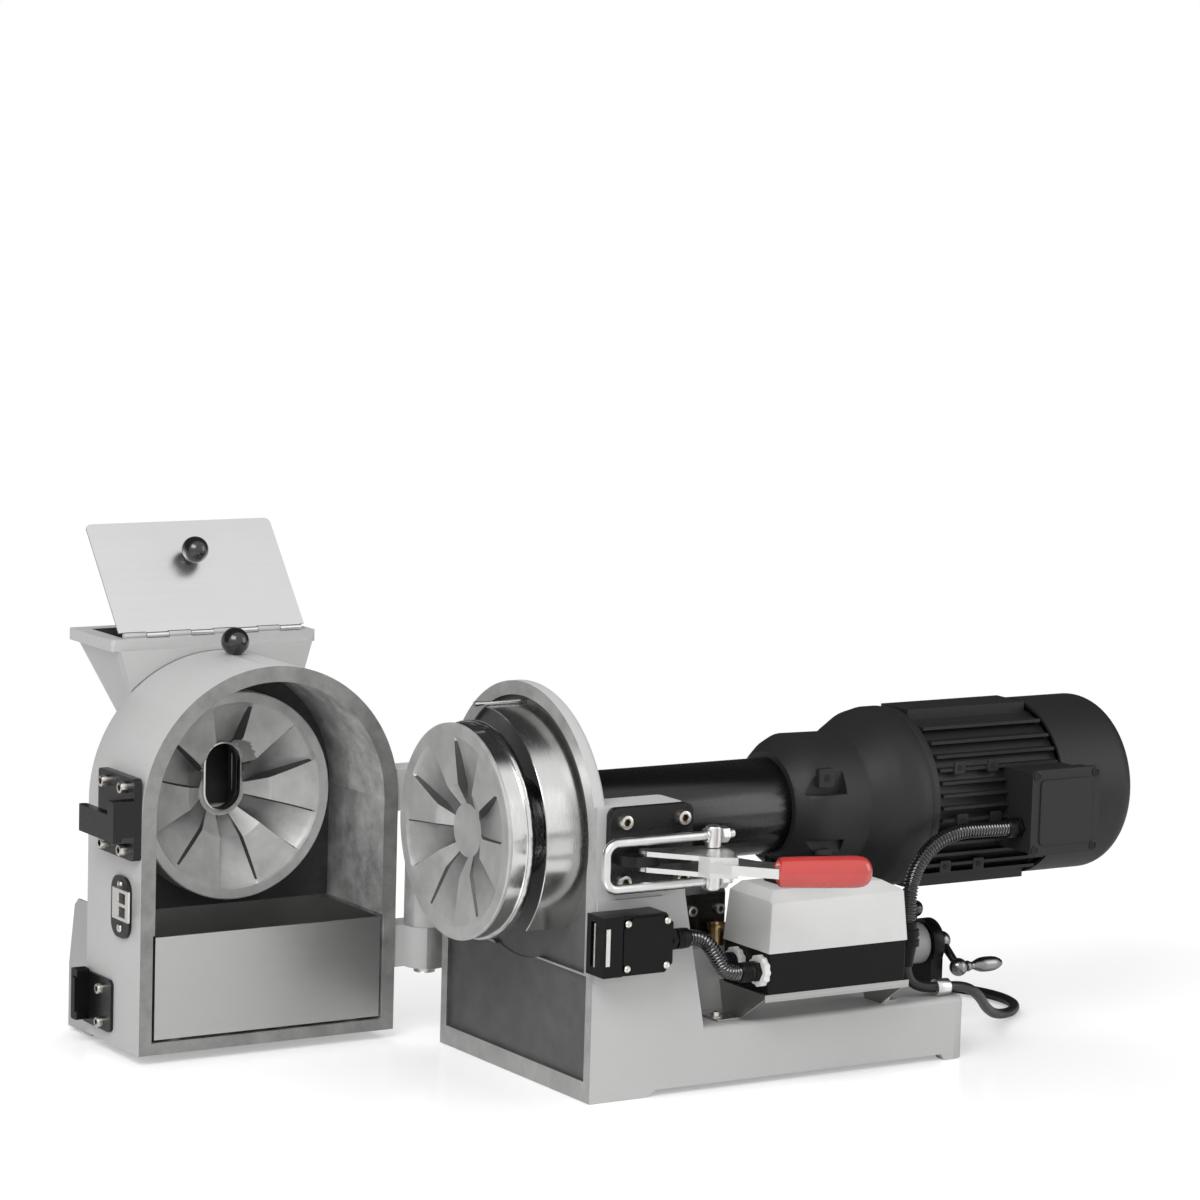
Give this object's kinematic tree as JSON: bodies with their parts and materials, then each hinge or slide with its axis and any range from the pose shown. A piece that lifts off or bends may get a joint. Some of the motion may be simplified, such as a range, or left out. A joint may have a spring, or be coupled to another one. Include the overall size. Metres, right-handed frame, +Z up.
{
  "type": "laboratory disc mill",
  "caption": "Bench disc mill with geared motor, swing-open door with hopper, lid and drawer, toggle clamp, gap crank, switch box and mains lead.",
  "frame": {"origin": "centre of the four bench bolts, on the bench", "axes": "+X from the discs along the shaft to the motor, +Y to the door's hinge, +Z up"},
  "size_m": [0.996, 0.6809, 0.4816],
  "materials": {
    "casting_paint": "satin light gray paint over cast iron",
    "gray_casting": "ground and blasted cast steel",
    "bright_steel": "brushed stainless or turned steel",
    "zinc": "zinc plated",
    "black_paint": "black gloss paint",
    "charcoal_paint": "satin charcoal paint",
    "core_steel": "stacked core steel",
    "alu_motor": "satin charcoal paint on cast aluminium",
    "black_plastic": "moulded black plastic",
    "light_plastic": "moulded light gray plastic",
    "white_plastic": "moulded white plastic",
    "knob_plastic": "polished black ball knobs",
    "red_plastic": "red dipped grip",
    "rubber": "black rubber sheath",
    "brass": "turned brass"
  },
  "bodies": {
    "base": {"base_casting": "casting_paint", "guide_band": "bright_steel", "band_rod": "bright_steel", "clamp_plate": "black_paint", "clamp_plate_screws": "zinc", "interlock_switch": "black_plastic", "small_screws": "zinc", "switch_conduit": "black_plastic", "conduit_fittings": "black_plastic", "gland_nuts": "white_plastic", "box_bracket": "bright_steel", "control_box": "black_plastic", "control_lid": "light_plastic", "switch_housing": "black_plastic", "brass_cap": "brass", "gap_indicator": "black_plastic", "spindle_housing": "black_paint", "cord_clip": "zinc", "motor_conduit": "black_plastic", "shaft_tube": "black_paint", "gearbox_housing": "alu_motor", "motor_frame": "alu_motor", "fan_cowl": "charcoal_paint", "terminal_box": "alu_motor", "stator_core": "core_steel", "motor_bearings": "bright_steel", "hinge_pin": "bright_steel", "mains_lead": "rubber", "lead_coil": "rubber", "mains_plug": "rubber"},
    "quill": {"quill_sleeve": "bright_steel", "shaft_bearings": "bright_steel"},
    "shaft": {"drive_shaft": "bright_steel", "disc_carrier": "bright_steel", "moving_disc": "gray_casting", "output_gear": "bright_steel"},
    "layshaft": {"layshaft_gears": "bright_steel"},
    "motor": {"motor_rotor": "core_steel", "cooling_fan": "black_plastic"},
    "crank": {"crank_arm": "bright_steel"},
    "crank_grip": {"crank_handle": "bright_steel"},
    "gap_lock": {"gap_lock_knob": "knob_plastic"},
    "flap": {"switch_flap": "black_plastic"},
    "lever": {"lever_yoke": "zinc", "lever_grip": "red_plastic"},
    "bow": {"u_bolt": "zinc", "trunnion_blocks": "zinc"},
    "door": {"door_casting": "casting_paint", "feed_hopper": "casting_paint", "fixed_disc": "gray_casting", "latch_hook": "black_paint", "actuator_key": "bright_steel", "door_screws": "zinc", "drawer_switch": "black_plastic", "switch_bracket": "black_paint"},
    "lid": {"hopper_lid": "bright_steel", "lid_knob": "knob_plastic"},
    "lock": {"lock_pin": "bright_steel", "lock_knob": "knob_plastic"},
    "drawer": {"drawer_box": "bright_steel"}
  },
  "joints": [
    {"name": "door_hinge", "type": "hinge", "parent": "base", "child": "door", "pos_m": [-0.221, 0.168, 0.165], "axis": [0, 0, 1], "range_deg": [-15, 90]},
    {"name": "lid_hinge", "type": "hinge", "parent": "door", "child": "lid", "pos_m": [-0.389, 0.296, 0.384], "axis": [1, 0, 0], "range_deg": [-51, 39]},
    {"name": "drawer_slide", "type": "slide", "parent": "door", "child": "drawer", "axis": [0, 1, 0], "range_m": [0, 0.105]},
    {"name": "disc_lock", "type": "slide", "parent": "door", "child": "lock", "axis": [0, 0, 1], "range_m": [0, 0.012], "stiffness_N_per_m": 200, "springref_m": -0.01},
    {"name": "clamp_lever", "type": "hinge", "parent": "base", "child": "lever", "pos_m": [-0.181, -0.158, 0.226], "axis": [0, 0, -1], "range_deg": [0, 105]},
    {"name": "clamp_bow", "type": "hinge", "parent": "lever", "child": "bow", "pos_m": [-0.12, -0.172, 0.226], "axis": [0, 0, -1], "range_deg": [-105, 0]},
    {"name": "crank_turn", "type": "hinge", "parent": "base", "child": "crank", "pos_m": [0.264, 0, 0.082], "axis": [1, 0, 0], "range_deg": [0, 1080]},
    {"name": "quill_slide", "type": "slide", "parent": "base", "child": "quill", "axis": [-1, 0, 0], "range_m": [0, 0.0036]},
    {"name": "crank_grip_spin", "type": "hinge", "parent": "crank", "child": "crank_grip", "pos_m": [0.299, -0.03, 0.061], "axis": [1, 0, 0], "continuous": true},
    {"name": "gap_lock_turn", "type": "hinge", "parent": "base", "child": "gap_lock", "pos_m": [0.237, 0, 0.11], "axis": [0, 0, 1], "range_deg": [0, 90]},
    {"name": "shaft_spin", "type": "hinge", "parent": "quill", "child": "shaft", "pos_m": [-0.221, 0, 0.233], "axis": [1, 0, 0], "continuous": true},
    {"name": "layshaft_spin", "type": "hinge", "parent": "base", "child": "layshaft", "pos_m": [0.159, 0.03975, 0.233], "axis": [1, 0, 0], "continuous": true},
    {"name": "motor_spin", "type": "hinge", "parent": "base", "child": "motor", "pos_m": [0.259, 0, 0.233], "axis": [1, 0, 0], "continuous": true},
    {"name": "starter_flap", "type": "hinge", "parent": "base", "child": "flap", "pos_m": [0.013, -0.106, 0.204], "axis": [1, 0, 0], "range_deg": [-45, 8]}
  ],
  "couplings": [
    {"joint": "clamp_bow", "follows": "clamp_lever", "ratio": -1},
    {"joint": "crank_turn", "follows": "quill_slide", "rad_per_m": 5236},
    {"joint": "layshaft_spin", "follows": "shaft_spin", "ratio": -1.7895},
    {"joint": "motor_spin", "follows": "shaft_spin", "ratio": 3.2022}
  ]
}
